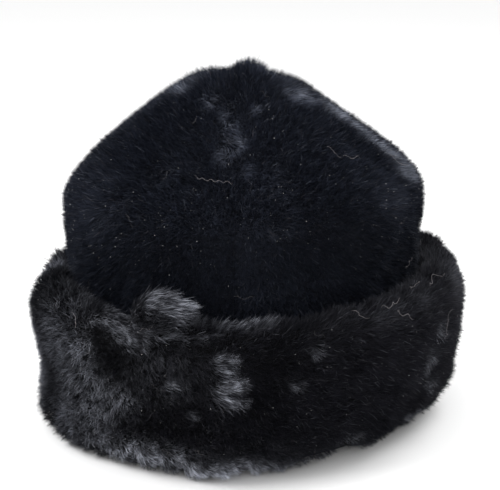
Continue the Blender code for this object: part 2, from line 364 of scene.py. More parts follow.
def cuffFaces(angle, rows):
    # the pile's outer face and its backing at these angles, as grids of points in mm
    table = np.array([section[1:] for section in cuffShape["sections"]])
    even = evenRows(smoothCurve(table), 2, 3, rows)
    pileOut, pileHeight, backOut, backHeight = [column[:, None] for column in even.T]
    normalOut, normalUp = [n[:, None] for n in profileNormals(even[:, 0], even[:, 1])]
    angle = angle[None, :]
    meanHalf = (headOval["halfWidth"] + headOval["halfLength"]) / 2
    relief = dentsAt(cuffShape["dents"], angle, pileHeight, meanHalf + pileOut)
    turn = np.radians(angle - cuffShape["fullerSideAngle"])
    relief = relief + cuffShape["fullerSide"] * np.cos(turn) * normalOut
    down = np.linspace(cuffShape["lockRows"], 0.0, rows + 1)[:, None]
    locks = cuffShape["lockDepth"] * (lockRise(down, angle / cuffShape["lockAngle"]) - 1)
    seed = cuffSeeds["lumps"]
    lumpy = softWaves(angle, pileHeight, seed, slowest=9, fastest=30, steepest=0.3, waves=10)
    relief = relief + cuffShape["lumps"] * lumpy
    inward = pileOut < cuffShape["foldOut"] + cuffShape["heldFrom"]
    relief = np.where(inward, np.minimum(relief, cuffShape["heldTo"] * np.abs(relief)), relief)

    def place(out, height, amount):
        reach = out + normalOut * amount
        return ovalPoints(
            angle, headOval["halfWidth"] + reach, headOval["halfLength"] + reach,
            np.maximum(height + normalUp * amount, 0.0),
        )

    ends = np.clip(np.linspace(0, cuffShape["reliefRise"], rows + 1), 0, 1)[:, None]
    pile = place(pileOut, pileHeight, (relief + locks) * ends)
    backing = place(backOut, backHeight, cuffShape["backingRelief"] * relief * ends)
    backing[..., 2] = np.maximum(backing[..., 2], cuffShape["backingLowest"])
    lift = edgeLift(angle)
    pile[..., 2] += cuffShape["fringe"] * lift * lowShare(pile[..., 2])
    backing[..., 2] += lift * lowShare(backing[..., 2])
    return pile, backing, np.broadcast_to(angle, pile.shape[:2])


def edgeLift(angle):
    # how far the cuff's soft lower edge stays off the surface, since it isn't quite flat
    seed = cuffSeeds["edge"]
    ragged = softWaves(angle, 0.0, seed, slowest=20, fastest=60, steepest=0.1, waves=10)
    lift = cuffShape["raggedEdge"] * np.clip(ragged, 0, None)
    for place, liftAngle, wide, up in cuffShape["lifts"]:
        turn = (angle - liftAngle + 180.0) % 360.0 - 180.0
        lift = lift + up * np.exp(-(turn / wide) ** 2)
    return lift


def lowShare(height):
    # 1 at the surface and 0 from a third of the cuff up
    return np.clip(1 - height / cuffShape["liftedUpTo"], 0, 1)


def toFrame(points):
    # from mm round the oval's middle to metres in the shared frame
    return np.asarray(points) * mm + ovalMiddle


def addRows(mesh, rows, closed, slot):
    # quads between neighbouring rows, where a row may also be a single point
    made = [[mesh.verts.new(Vector(point)) for point in row] for row in rows]
    for low, high in zip(made, made[1:]):
        count = max(len(low), len(high))
        for i in range(count if closed else count - 1):
            j = (i + 1) % count
            corners = [low[i % len(low)], low[j % len(low)], high[j % len(high)], high[i % len(high)]]
            kept = [v for n, v in enumerate(corners) if v not in corners[:n]]
            mesh.faces.new(kept).material_index = slot
    return made


def zipRows(mesh, first, second, closed, slot):
    # triangles between two rows that may differ in number, always by the shorter way
    if closed:
        first, second = first + first[:1], second + second[:1]
    i = j = 0
    while i < len(first) - 1 or j < len(second) - 1:
        firstWay = (first[i + 1].co - second[j].co).length if i < len(first) - 1 else math.inf
        secondWay = (second[j + 1].co - first[i].co).length if j < len(second) - 1 else math.inf
        if firstWay <= secondWay:
            corners = [first[i], first[i + 1], second[j]]
            i += 1
        else:
            corners = [first[i], second[j + 1], second[j]]
            j += 1
        mesh.faces.new(corners).material_index = slot


def finishMesh(name, mesh, materials):
    bmesh.ops.recalc_face_normals(mesh, faces=mesh.faces)
    data = bpy.data.meshes.new(name)
    mesh.to_mesh(data)
    mesh.free()
    data.shade_smooth()
    for material in materials:
        data.materials.append(material)
    piece = bpy.data.objects.new(name, data)
    bpy.context.scene.collection.objects.link(piece)
    return piece


# Materials

def addNode(tree, kind, **settings):
    node = tree.nodes.new(kind)
    for key, value in settings.items():
        setattr(node, key, value)
    return node


def newMaterial(name):
    material = bpy.data.materials.new(name)
    material.use_nodes = True
    tree = material.node_tree
    return material, tree, tree.nodes["Principled BSDF"]


def makeStrandMaterial(name, look):
    # root to tip colour along each strand times its tone, which holds painted shade on the crown, and
    # a painted grey sheen in the combed patches, which also lightens the pale hairs
    material, tree, shader = newMaterial(name)
    along = addNode(tree, "ShaderNodeAttribute", attribute_name="along").outputs["Fac"]
    tone = addNode(tree, "ShaderNodeAttribute", attribute_name="tone").outputs["Fac"]
    sheen = addNode(tree, "ShaderNodeAttribute", attribute_name="sheen").outputs["Fac"]
    warm = addNode(tree, "ShaderNodeAttribute", attribute_name="warm").outputs["Fac"]
    fade = addNode(tree, "ShaderNodeMix", data_type="RGBA")
    fade.inputs["A"].default_value = (*look["root"], 1.0)
    fade.inputs["B"].default_value = (*look["tip"], 1.0)
    brown = addNode(tree, "ShaderNodeMix", data_type="RGBA")
    brown.inputs["B"].default_value = (*look["warmTip"], 1.0)
    scaled = addNode(tree, "ShaderNodeVectorMath", operation="SCALE")
    towardsTip = addNode(tree, "ShaderNodeMath", operation="MULTIPLY")
    # the painted grey sheen, strongest towards the tip
    paintedSheen = addNode(tree, "ShaderNodeVectorMath", operation="SCALE")
    paintedSheen.inputs[0].default_value = look["sheen"]
    total = addNode(tree, "ShaderNodeVectorMath", operation="ADD")
    links = tree.links
    links.new(along, fade.inputs["Factor"])
    links.new(fade.outputs["Result"], brown.inputs["A"])
    links.new(warm, brown.inputs["Factor"])
    links.new(brown.outputs["Result"], scaled.inputs[0])
    links.new(tone, scaled.inputs["Scale"])
    links.new(sheen, towardsTip.inputs[0])
    links.new(along, towardsTip.inputs[1])
    links.new(towardsTip.outputs["Value"], paintedSheen.inputs["Scale"])
    links.new(scaled.outputs["Vector"], total.inputs[0])
    links.new(paintedSheen.outputs["Vector"], total.inputs[1])
    links.new(total.outputs["Vector"], shader.inputs["Base Color"])
    shader.inputs["Roughness"].default_value = look["roughness"]
    shader.inputs["Specular IOR Level"].default_value = look["specular"]
    shader.inputs["Specular Tint"].default_value = (*look["specularTint"], 1.0)
    return material


rootGround = {
    "streakStretch": 2.5,
    "streakDetail": 4.0,
    "darkUpTo": 0.35,
    "lightFrom": 0.70,
    "bump": 0.8,
    "bumpDepth": 0.0006,
    "roughness": 0.9,
    "specular": 0.1,
}


def makeRootMaterial(name, look):
    # the dark ground that shows between the strands, streaked by their roots
    material, tree, shader = newMaterial(name)
    coords = addNode(tree, "ShaderNodeTexCoord")
    stretch = addNode(tree, "ShaderNodeMapping")
    stretch.inputs["Scale"].default_value = (1.0, 1.0, rootGround["streakStretch"])
    streaks = addNode(tree, "ShaderNodeTexNoise")
    streaks.inputs["Scale"].default_value = look["streaksPerMetre"]
    streaks.inputs["Detail"].default_value = rootGround["streakDetail"]
    ramp = addNode(tree, "ShaderNodeValToRGB")
    ramp.color_ramp.elements[0].position = rootGround["darkUpTo"]
    ramp.color_ramp.elements[0].color = (*look["dark"], 1.0)
    ramp.color_ramp.elements[1].position = rootGround["lightFrom"]
    ramp.color_ramp.elements[1].color = (*look["light"], 1.0)
    bump = addNode(tree, "ShaderNodeBump")
    bump.inputs["Strength"].default_value = rootGround["bump"]
    bump.inputs["Distance"].default_value = rootGround["bumpDepth"]
    links = tree.links
    links.new(coords.outputs["Object"], stretch.inputs["Vector"])
    links.new(stretch.outputs["Vector"], streaks.inputs["Vector"])
    links.new(streaks.outputs["Fac"], ramp.inputs["Fac"])
    links.new(ramp.outputs["Color"], shader.inputs["Base Color"])
    links.new(streaks.outputs["Fac"], bump.inputs["Height"])
    links.new(bump.outputs["Normal"], shader.inputs["Normal"])
    shader.inputs["Roughness"].default_value = rootGround["roughness"]
    shader.inputs["Specular IOR Level"].default_value = rootGround["specular"]
    return material


knittedBacking = {
    "dark": (0.008, 0.008, 0.009),
    "light": (0.022, 0.022, 0.025),
    "ribsPerMetre": 520.0,
    "ribWaver": 1.5,
    "ribDetail": 2.0,
    "loopsPerRib": 1.4,
    "bump": 0.7,
    "bumpDepth": 0.0003,
    "roughness": 0.85,
}


def makeBackingMaterial():
    # plain knitted backing of the pile cloth, on the inside of the crown
    look = knittedBacking
    material, tree, shader = newMaterial("knitted backing")
    coords = addNode(tree, "ShaderNodeTexCoord")
    courses = addNode(tree, "ShaderNodeTexWave", wave_type="BANDS", bands_direction="Z")
    courses.inputs["Scale"].default_value = look["ribsPerMetre"]
    courses.inputs["Distortion"].default_value = look["ribWaver"]
    courses.inputs["Detail"].default_value = look["ribDetail"]
    cells = addNode(tree, "ShaderNodeTexVoronoi")
    cells.inputs["Scale"].default_value = look["ribsPerMetre"] * look["loopsPerRib"]
    mixed = addNode(tree, "ShaderNodeMath", operation="MULTIPLY")
    ramp = addNode(tree, "ShaderNodeValToRGB")
    ramp.color_ramp.elements[0].color = (*look["dark"], 1.0)
    ramp.color_ramp.elements[1].color = (*look["light"], 1.0)
    bump = addNode(tree, "ShaderNodeBump")
    bump.inputs["Strength"].default_value = look["bump"]
    bump.inputs["Distance"].default_value = look["bumpDepth"]
    links = tree.links
    links.new(coords.outputs["Object"], courses.inputs["Vector"])
    links.new(coords.outputs["Object"], cells.inputs["Vector"])
    links.new(courses.outputs["Fac"], mixed.inputs[0])
    links.new(cells.outputs["Distance"], mixed.inputs[1])
    links.new(mixed.outputs["Value"], ramp.inputs["Fac"])
    links.new(mixed.outputs["Value"], bump.inputs["Height"])
    links.new(ramp.outputs["Color"], shader.inputs["Base Color"])
    links.new(bump.outputs["Normal"], shader.inputs["Normal"])
    shader.inputs["Roughness"].default_value = look["roughness"]
    return material


crownRoots = makeRootMaterial("crown pile roots", {
    "dark": (0.006, 0.0068, 0.010),
    "light": (0.015, 0.0168, 0.024),
    "streaksPerMetre": 500.0,
})
cuffRoots = makeRootMaterial("cuff pile roots", {
    "dark": (0.002, 0.002, 0.0024),
    "light": (0.008, 0.0082, 0.0095),
    "streaksPerMetre": 450.0,
})
backingCloth = makeBackingMaterial()
crownStrand = makeStrandMaterial("crown pile", {
    "root": (0.0190, 0.0219, 0.0316),
    "tip": (0.0161, 0.0187, 0.0282),
    "warmTip": (0.030, 0.029, 0.034),
    # sheen: the colour of the painted grey sheen
    "sheen": (0.0112, 0.0120, 0.0142),
    "specularTint": (0.72, 0.84, 1.0),
    "roughness": 0.6,
    "specular": 0.06,
})
cuffStrand = makeStrandMaterial("cuff pile", {
    "root": (0.0048, 0.0048, 0.0066),
    "tip": (0.0094, 0.0094, 0.0130),
    "warmTip": (0.026, 0.025, 0.029),
    # sheen: the colour of the painted grey sheen
    "sheen": (0.0111, 0.0116, 0.0132),
    "specularTint": (0.88, 0.90, 1.0),
    "roughness": 0.6,
    "specular": 0.12,
})
print("materials made")


# Backings: the closed cloth walls that carry the pile

def makeGoreBacking(side, middle):
    outside = crownFaces(middle, crownShape["rows"], crownShape["columns"])[1]
    table = np.array([section[1:] for section in crownShape["inside"]])
    mean = (headOval["halfWidth"] + headOval["halfLength"]) / 2
    table[:, 1] *= mean
    even = evenRows(smoothCurve(table), 1, 0, crownShape["insideRows"])
    across = np.linspace(-1.0, 1.0, crownShape["insideColumns"] + 1)
    insideAngle = middle + goreHalf * across[None, :]
    share = even[:, 1:2] / mean
    inside = ovalPoints(
        insideAngle, headOval["halfWidth"] * share, headOval["halfLength"] * share, even[:, 0:1],
    )
    leanX, leanY = leanAt(inside[..., 2])
    inside[..., 0] += leanX
    inside[..., 1] += leanY
    turn = math.radians(middle)
    apart = np.array([math.sin(turn), -math.cos(turn), 0.0]) * seamRoom * seamShare
    outside, inside = toFrame(outside + apart), toFrame(inside + apart)

    mesh = bmesh.new()
    outRows = addRows(mesh, [*outside[:-1], outside[-1][:1]], False, 0)
    inRows = addRows(mesh, [*inside[:-1], inside[-1][:1]], False, 1)
    zipRows(mesh, outRows[0], inRows[0], False, 1)
    for edge in (0, -1):
        zipRows(mesh, [row[edge] for row in outRows], [row[edge] for row in inRows], False, 1)
    piece = finishMesh(f"crown_{side}_backing", mesh, [crownRoots, backingCloth])
    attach(piece, "root")
    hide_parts(f"crown_gore_{side}")


def makeCuffRoll():
    angle = np.linspace(0.0, 360.0, cuffShape["columns"], endpoint=False)
    outside = cuffFaces(angle, cuffShape["rows"])[1]
    plain = np.linspace(0.0, 360.0, cuffShape["hiddenColumns"], endpoint=False)
    hidden = []
    for place, out, height in cuffShape["hidden"]:
        lift = edgeLift(plain) if place == "resting edge" else 0.0
        halfWidth, halfLength = headOval["halfWidth"] + out, headOval["halfLength"] + out
        hidden.append(toFrame(ovalPoints(plain, halfWidth, halfLength, height + lift)))
    mesh = bmesh.new()
    outRows = addRows(mesh, toFrame(outside), True, 0)
    inRows = addRows(mesh, hidden, True, 0)
    zipRows(mesh, outRows[-1], inRows[0], True, 0)
    zipRows(mesh, outRows[0], inRows[-1], True, 0)
    piece = finishMesh("cuff_roll", mesh, [cuffRoots])
    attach(piece, "root")
    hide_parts("cuff")


for side, middle in gores:
    makeGoreBacking(side, middle)
makeCuffRoll()
print("backings made")


# Pile: one bent blade is copied over each backing by Geometry Nodes

strandShape = {
    "length": 11.0,
    "width": 0.29,
    "lowest": 0.2,  # the lowest strands are pressed flat on the floor
    "middle": {"out": 0.30, "curled": 0.2, "up": 0.52, "raised": 0.06},
    "tipUp": 0.92,
    "bends": (0.20, 0.35, 0.50, 0.30, 0.45, 0.60, 0.25, 0.52),
    "rolls": (-50, 35, -20, 10, 60, -5, 25, -35),
    "curls": (0.10, -0.12, 0.05, -0.04, 0.15, -0.08, -0.16, 0.06),
}

strandCorners = 6  # two faces with three corners each


def makeBlade(name, bend, roll, curl):
    # a strand of two faces, widest halfway, that starts upwards and bends over along +X
    length, width = strandShape["length"] * mm, strandShape["width"] * mm
    up = math.sqrt(1 - bend ** 2)
    half = strandShape["middle"]
    middle = Vector((
        bend * half["out"], curl * half["curled"], half["up"] * up + half["raised"],
    )) * length
    tip = Vector((bend, curl, up * strandShape["tipUp"])) * length
    turn = math.radians(roll)
    across = Vector((-up * math.sin(turn), math.cos(turn), bend * math.sin(turn))) * width / 2
    points = [Vector((0.0, 0.0, 0.0)), middle - across, middle + across, tip]
    data = bpy.data.meshes.new(name)
    data.from_pydata(points, [], [(0, 2, 1), (1, 2, 3)])
    data.shade_smooth()
    along = data.attributes.new("along", "FLOAT", "POINT")
    along.data.foreach_set("value", [0.0, 0.5, 0.5, 1.0])
    return bpy.data.objects.new(name, data)


blades = bpy.data.collections.new("blades")
for i in range(len(strandShape["bends"])):
    blade = makeBlade(
        f"blade_{i}", strandShape["bends"][i], strandShape["rolls"][i], strandShape["curls"][i],
    )
    blades.objects.link(blade)

pileInputs = [
    ("Strands per square metre", "NodeSocketFloat"),
    ("Seed", "NodeSocketInt"),
    ("Lock size", "NodeSocketFloat"),
    ("Lock pull", "NodeSocketFloat"),
    ("Lie over", "NodeSocketFloat"),
    ("Bend", "NodeSocketFloat"),
    ("Ruffle size", "NodeSocketFloat"),
    ("Ruffle", "NodeSocketFloat"),
    ("Frizz", "NodeSocketFloat"),
    ("Shortest", "NodeSocketFloat"),
    ("Longest", "NodeSocketFloat"),
    ("Long hairs", "NodeSocketFloat"),
    ("Pale hairs", "NodeSocketFloat"),
    ("Paleness", "NodeSocketFloat"),
    ("Tuft size", "NodeSocketFloat"),
    ("Raggedness", "NodeSocketFloat"),
    ("Wisps", "NodeSocketFloat"),
]

# what both piles have in common: how strands lie and how their painted sheen falls, with the ends of
# their random draws
strandHabits = {
    "lockWanderSize": 0.012,
    "lockWander": 0.006,
    "combedCalm": 0.8,  # share of the frizz that full combing takes away
    "calmest": 0.3,
    "combedNap": 5.0,
    "ruffleTurn": 2.0,
    "longerBy": 0.15,
    "bend": (0.2, 1.5),
    "lockTone": (0.8, 0.4),  # the darkest lock, and how much lighter the lightest is
    "tone": (0.6, 1.4),
    "uncombedRagged": 0.5,  # share of the raggedness that uncombed painted sheen has
    "sheenMiddle": 0.9,
    "sheenMost": 2.3,
    "shine": (0.5, 1.5),
    "paleShine": (0.3, 1.5),
}

# steps from the pile's seed, so that no two random draws are alike
seedSteps = {
    "frizz": 3.0, "long": 5.0, "size": 7.0, "blade": 9.0,
    "tone": 11.0, "shine": 13.0, "pale": 15.0, "paleShine": 17.0,
}


class TreeBuilder:
    # a new tree with the pile's inputs, and short ways to add nodes and links to it

    def __init__(self, name):
        self.tree = bpy.data.node_groups.new(name, "GeometryNodeTree")
        sockets = self.tree.interface
        sockets.new_socket(name="Geometry", in_out="INPUT", socket_type="NodeSocketGeometry")
        for label, kind in pileInputs:
            sockets.new_socket(name=label, in_out="INPUT", socket_type=kind)
        sockets.new_socket(name="Geometry", in_out="OUTPUT", socket_type="NodeSocketGeometry")
        self.given = self.add("NodeGroupInput").outputs
        self.result = self.add("NodeGroupOutput").inputs

    def add(self, kind, **settings):
        return addNode(self.tree, kind, **settings)

    def feed(self, socket, value):
        if isinstance(value, (int, float, tuple)):
            socket.default_value = value
        else:
            self.tree.links.new(value, socket)

    def named(self, label, kind="FLOAT"):
        node = self.add("GeometryNodeInputNamedAttribute", data_type=kind)
        node.inputs["Name"].default_value = label
        return node.outputs["Attribute"]

    def vector(self, operation, a, b=None, scale=None):
        node = self.add("ShaderNodeVectorMath", operation=operation)
        self.feed(node.inputs[0], a)
        if b is not None:
            self.feed(node.inputs[1], b)
        if scale is not None:
            self.feed(node.inputs["Scale"], scale)
        return node.outputs["Value" if operation in ("LENGTH", "DOT_PRODUCT") else "Vector"]

    def number(self, operation, a, b):
        node = self.add("ShaderNodeMath", operation=operation)
        self.feed(node.inputs[0], a)
        self.feed(node.inputs[1], b)
        return node.outputs["Value"]

    def seedFor(self, draw):
        return self.number("ADD", self.given["Seed"], seedSteps[draw])

    def randomNumber(self, low, high, draw):
        # inputs 2 and 3 are the ends of a draw of numbers with a point
        node = self.add("FunctionNodeRandomValue", data_type="FLOAT")
        self.feed(node.inputs[2], low)
        self.feed(node.inputs[3], high)
        self.feed(node.inputs["Seed"], self.seedFor(draw))
        return node.outputs[1]

    def noiseAt(self, where, size, detail):
        node = self.add("ShaderNodeTexNoise")
        self.feed(node.inputs["Vector"], where)
        self.feed(node.inputs["Scale"], self.number("DIVIDE", 1.0, size))
        node.inputs["Detail"].default_value = detail
        return node.outputs

    def wanderAt(self, where, size, detail):
        # a vector that wanders softly about zero
        noise = self.noiseAt(where, size, detail)["Color"]
        return self.vector("SUBTRACT", noise, (0.5, 0.5, 0.5))


def addLocks(build, where, upright, wild):
    # the pull of each strand towards the middle of its own lock, and the lock's random numbers
    given = build.given
    locks = build.add("ShaderNodeTexVoronoi")
    wander = build.wanderAt(where, strandHabits["lockWanderSize"], detail=1.0)
    wander = build.vector("SCALE", wander, scale=strandHabits["lockWander"])
    bent = build.vector("ADD", where, wander)
    build.feed(locks.inputs["Vector"], bent)
    build.feed(locks.inputs["Scale"], build.number("DIVIDE", 1.0, given["Lock size"]))
    toLock = build.vector("SUBTRACT", locks.outputs["Position"], bent)
    flat = build.vector("SCALE", upright, scale=build.vector("DOT_PRODUCT", toLock, upright))
    toLock = build.vector("SUBTRACT", toLock, flat)
    pull = build.number("DIVIDE", given["Lock pull"], given["Lock size"])
    pulled = build.vector("SCALE", toLock, scale=build.number("MULTIPLY", pull, wild))
    lockRandom = build.add("ShaderNodeSeparateXYZ")
    build.feed(lockRandom.inputs["Vector"], locks.outputs["Color"])
    return pulled, lockRandom.outputs


def addTurn(build, where, upright, pulled, comb, wild):
    # how each strand stands up, and which way it bends over
    given, habits = build.given, strandHabits
    nap = build.named("nap", "FLOAT_VECTOR")
    ruffle = build.wanderAt(where, given["Ruffle size"], detail=2.0)
    ruffle = build.vector("SCALE", ruffle, scale=given["Ruffle"])
    ruffle = build.vector("SCALE", ruffle, scale=wild)
    frizz = build.add("FunctionNodeRandomValue", data_type="FLOAT_VECTOR")
    frizz.inputs[0].default_value = (-1.0, -1.0, -1.0)
    frizz.inputs[1].default_value = (1.0, 1.0, 1.0)
    build.feed(frizz.inputs["Seed"], build.seedFor("frizz"))
    calm = build.number("MULTIPLY", comb, habits["combedCalm"])
    calm = build.number("MAXIMUM", build.number("SUBTRACT", 1.0, calm), habits["calmest"])
    calm = build.number("MULTIPLY", given["Frizz"], calm)
    frizzed = build.vector("SCALE", frizz.outputs[0], scale=calm)

    lie = build.number("ADD", given["Lie over"], comb)
    towards = build.vector("ADD", upright, build.vector("SCALE", nap, scale=lie))
    towards = build.vector("ADD", towards, build.vector("ADD", pulled, ruffle))
    towards = build.vector("NORMALIZE", build.vector("ADD", towards, frizzed))
    napPull = build.number("MULTIPLY", comb, habits["combedNap"])
    napPull = build.number("ADD", 1.0, napPull)
    over = build.vector("SCALE", ruffle, scale=habits["ruffleTurn"])
    over = build.vector("ADD", frizz.outputs[0], over)
    over = build.vector("ADD", build.vector("SCALE", nap, scale=napPull), over)

    stand = build.add("FunctionNodeAlignRotationToVector", axis="Z")
    build.feed(stand.inputs["Vector"], towards)
    turned = build.add("FunctionNodeAlignRotationToVector", axis="X", pivot_axis="Z")
    build.feed(turned.inputs["Rotation"], stand.outputs["Rotation"])
    build.feed(turned.inputs["Vector"], over)
    return turned.outputs["Rotation"]


def addSize(build, depth, comb, isLong):
    # each strand is as long as the pile is deep there, give or take, and combing bends it more
    given, habits = build.given, strandHabits
    share = build.randomNumber(given["Shortest"], given["Longest"], "size")
    size = build.number("MULTIPLY", depth, share)
    size = build.number("DIVIDE", size, strandShape["length"] * mm)
    longer = build.number("MULTIPLY", isLong, habits["longerBy"])
    size = build.number("MULTIPLY", size, build.number("ADD", 1.0, longer))
    leastBend, mostBend = habits["bend"]
    bend = build.number("MAXIMUM", build.number("ADD", given["Bend"], comb), leastBend)
    bend = build.number("MINIMUM", bend, mostBend)
    sized = build.add("ShaderNodeCombineXYZ")
    build.feed(sized.inputs["X"], build.number("MULTIPLY", size, bend))
    for axis in ("Y", "Z"):
        build.feed(sized.inputs[axis], size)
    return sized.outputs["Vector"]


def addTones(build, where, comb, isPale, lockRandom):
    # the tone carries painted shade on the crown, and the painted sheen comes in wisps, since whole
    # locks of a patch catch the light or don't
    given, habits = build.given, strandHabits
    light, sheen = build.named("light"), build.named("paintedSheenField")
    darkest, lighterBy = habits["lockTone"]
    lockTone = build.number("MULTIPLY", lockRandom["X"], lighterBy)
    lockTone = build.number("ADD", darkest, lockTone)
    tone = build.number("MULTIPLY", light, lockTone)
    tone = build.number("MULTIPLY", tone, build.randomNumber(*habits["tone"], "tone"))

    tufts = build.noiseAt(where, given["Tuft size"], detail=3.0)["Fac"]
    ragged = build.number("SUBTRACT", tufts, 0.5)
    ragged = build.number("MULTIPLY", ragged, given["Raggedness"])
    wisps = build.number("SUBTRACT", lockRandom["Y"], 0.5)
    wisps = build.number("MULTIPLY", wisps, given["Wisps"])
    calmer = build.number("MINIMUM", build.number("ADD", comb, habits["uncombedRagged"]), 1.0)
    ragged = build.number("MULTIPLY", build.number("ADD", ragged, wisps), calmer)
    ragged = build.number("ADD", ragged, habits["sheenMiddle"])
    ragged = build.number("MINIMUM", build.number("MAXIMUM", ragged, 0.0), habits["sheenMost"])
    # each strand's painted sheen, which the few pale hairs add to below
    shine = build.number("MULTIPLY", sheen, ragged)
    shine = build.number("MULTIPLY", shine, build.randomNumber(*habits["shine"], "shine"))
    paler = build.number("MULTIPLY", isPale, given["Paleness"])
    paler = build.number("MULTIPLY", paler, light)
    paleShine = build.randomNumber(*habits["paleShine"], "paleShine")
    paler = build.number("MULTIPLY", paler, paleShine)
    return tone, build.number("ADD", shine, paler)


def addCopies(build, turned, sized):
    # one of the blades on every point that is strewn over the backing
    given = build.given
    points = build.add("GeometryNodeDistributePointsOnFaces", distribute_method="RANDOM")
    build.feed(points.inputs["Mesh"], given["Geometry"])
    build.feed(points.inputs["Density"], given["Strands per square metre"])
    build.feed(points.inputs["Seed"], given["Seed"])
    source = build.add("GeometryNodeCollectionInfo")
    source.inputs["Collection"].default_value = blades
    source.inputs["Separate Children"].default_value = True
    source.inputs["Reset Children"].default_value = True
    # inputs 4 and 5 are the ends of a draw of whole numbers
    picked = build.add("FunctionNodeRandomValue", data_type="INT")
    picked.inputs[4].default_value = 0
    picked.inputs[5].default_value = len(strandShape["bends"]) - 1
    build.feed(picked.inputs["Seed"], build.seedFor("blade"))
    copies = build.add("GeometryNodeInstanceOnPoints")
    copies.inputs["Pick Instance"].default_value = True
    build.feed(copies.inputs["Points"], points.outputs["Points"])
    build.feed(copies.inputs["Instance"], source.outputs["Instances"])
    build.feed(copies.inputs["Instance Index"], picked.outputs[2])
    build.feed(copies.inputs["Rotation"], turned)
    build.feed(copies.inputs["Scale"], sized)
    return copies.outputs["Instances"]


def makePileTree(name, material):
    build = TreeBuilder(name)
    where = build.add("GeometryNodeInputPosition").outputs["Position"]
    comb, wild = build.named("comb"), build.named("wild")
    grow = build.named("grow", "FLOAT_VECTOR")
    upright, depth = build.vector("NORMALIZE", grow), build.vector("LENGTH", grow)
    pulled, lockRandom = addLocks(build, where, upright, wild)
    turned = addTurn(build, where, upright, pulled, comb, wild)

    # 1 for the few hairs that stand out of the rest
    isLong = build.randomNumber(0.0, 1.0, "long")
    isLong = build.number("LESS_THAN", isLong, build.given["Long hairs"])
    isPale = build.randomNumber(0.0, 1.0, "pale")
    isPale = build.number("LESS_THAN", isPale, build.given["Pale hairs"])
    tone, shine = addTones(build, where, comb, isPale, lockRandom)
    flow = addCopies(build, turned, addSize(build, depth, comb, isLong))
    for label, value in (("tone", tone), ("sheen", shine), ("warm", isLong)):
        keep = build.add(
            "GeometryNodeStoreNamedAttribute", data_type="FLOAT", domain="INSTANCE",
        )
        keep.inputs["Name"].default_value = label
        build.feed(keep.inputs["Geometry"], flow)
        build.feed(keep.inputs["Value"], value)
        flow = keep.outputs["Geometry"]
    for label in ("grow", "nap", "light", "paintedSheenField", "comb", "wild"):
        drop = build.add("GeometryNodeRemoveAttribute")
        drop.inputs["Name"].default_value = label
        build.feed(drop.inputs["Geometry"], flow)
        flow = drop.outputs["Geometry"]
    real = build.add("GeometryNodeRealizeInstances")
    build.feed(real.inputs["Geometry"], flow)
    finished = build.add("GeometryNodeSetMaterial")
    finished.inputs["Material"].default_value = material
    build.feed(finished.inputs["Geometry"], real.outputs["Geometry"])
    build.feed(build.result["Geometry"], finished.outputs["Geometry"])
    return build.tree


def makeEmitter(name, backing, fields):
    # an open sheet on the backing, with the fields that the strands follow
    rows, columns = backing.shape[:2]
    index = np.arange(rows * columns).reshape(rows, columns)
    quads = np.stack([index[:-1, :-1], index[:-1, 1:], index[1:, 1:], index[1:, :-1]], -1)
    data = bpy.data.meshes.new(name)
    data.from_pydata(toFrame(backing).reshape(-1, 3).tolist(), [], quads.reshape(-1, 4).tolist())
    for label, values in fields.items():
        values = np.ascontiguousarray(values, np.float32)
        if values.ndim == 3:
            kept = data.attributes.new(label, "FLOAT_VECTOR", "POINT")
            kept.data.foreach_set("vector", values.ravel())
        else:
            kept = data.attributes.new(label, "FLOAT", "POINT")
            kept.data.foreach_set("value", values.ravel())
    emitter = bpy.data.objects.new(name, data)
    bpy.context.scene.collection.objects.link(emitter)
    return emitter


def layBakeMap(data):
    # every strand has its own small square of the map, since all have the same six corners
    margin = 0.15
    strands = len(data.loops) // strandCorners
    side = math.ceil(math.sqrt(strands))
    number = np.arange(strands)
    corner = np.array([[0.5, 0], [1, 0.5], [0, 0.5], [0, 0.5], [1, 0.5], [0.5, 1]])
    square = np.stack([number % side, number // side], -1)[:, None, :]
    uv = (square + margin + (1 - 2 * margin) * corner[None]) / side
    bakeMap = data.uv_layers.new(name="OFBake")
    bakeMap.uv.foreach_set("vector", uv.astype(np.float32).ravel())


def growPile(name, tree, emitter, settings, node):
    modifier = emitter.modifiers.new("pile", "NODES")
    modifier.node_group = tree
    for socket in tree.interface.items_tree:
        if socket.in_out == "INPUT" and socket.name in settings:
            modifier[socket.identifier] = settings[socket.name]
    shown = emitter.evaluated_get(bpy.context.evaluated_depsgraph_get())
    data = bpy.data.meshes.new_from_object(shown)
    data.name = name
    emitter.modifiers.remove(modifier)
    bpy.data.objects.remove(emitter, do_unlink=True)
    points = np.zeros(len(data.vertices) * 3, np.float32)
    data.vertices.foreach_get("co", points)
    points[2::3] = np.maximum(points[2::3], strandShape["lowest"] * mm)
    data.vertices.foreach_set("co", points)
    layBakeMap(data)
    piece = bpy.data.objects.new(name, data)
    bpy.context.scene.collection.objects.link(piece)
    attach(piece, "root")
    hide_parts(node)
    print(name, len(data.loops) // strandCorners, "strands")


def napField(points, turn):
    # unit vectors along the surface: turn 0 goes round the hat, 90 goes down
    around = np.gradient(points, axis=1)
    down = -np.gradient(points, axis=0)
    around = around / (np.linalg.norm(around, axis=-1, keepdims=True) + 1e-9)
    down = down / (np.linalg.norm(down, axis=-1, keepdims=True) + 1e-9)
    turn = np.radians(turn)[..., None]
    nap = around * np.cos(turn) + down * np.sin(turn)
    return nap / (np.linalg.norm(nap, axis=-1, keepdims=True) + 1e-9)


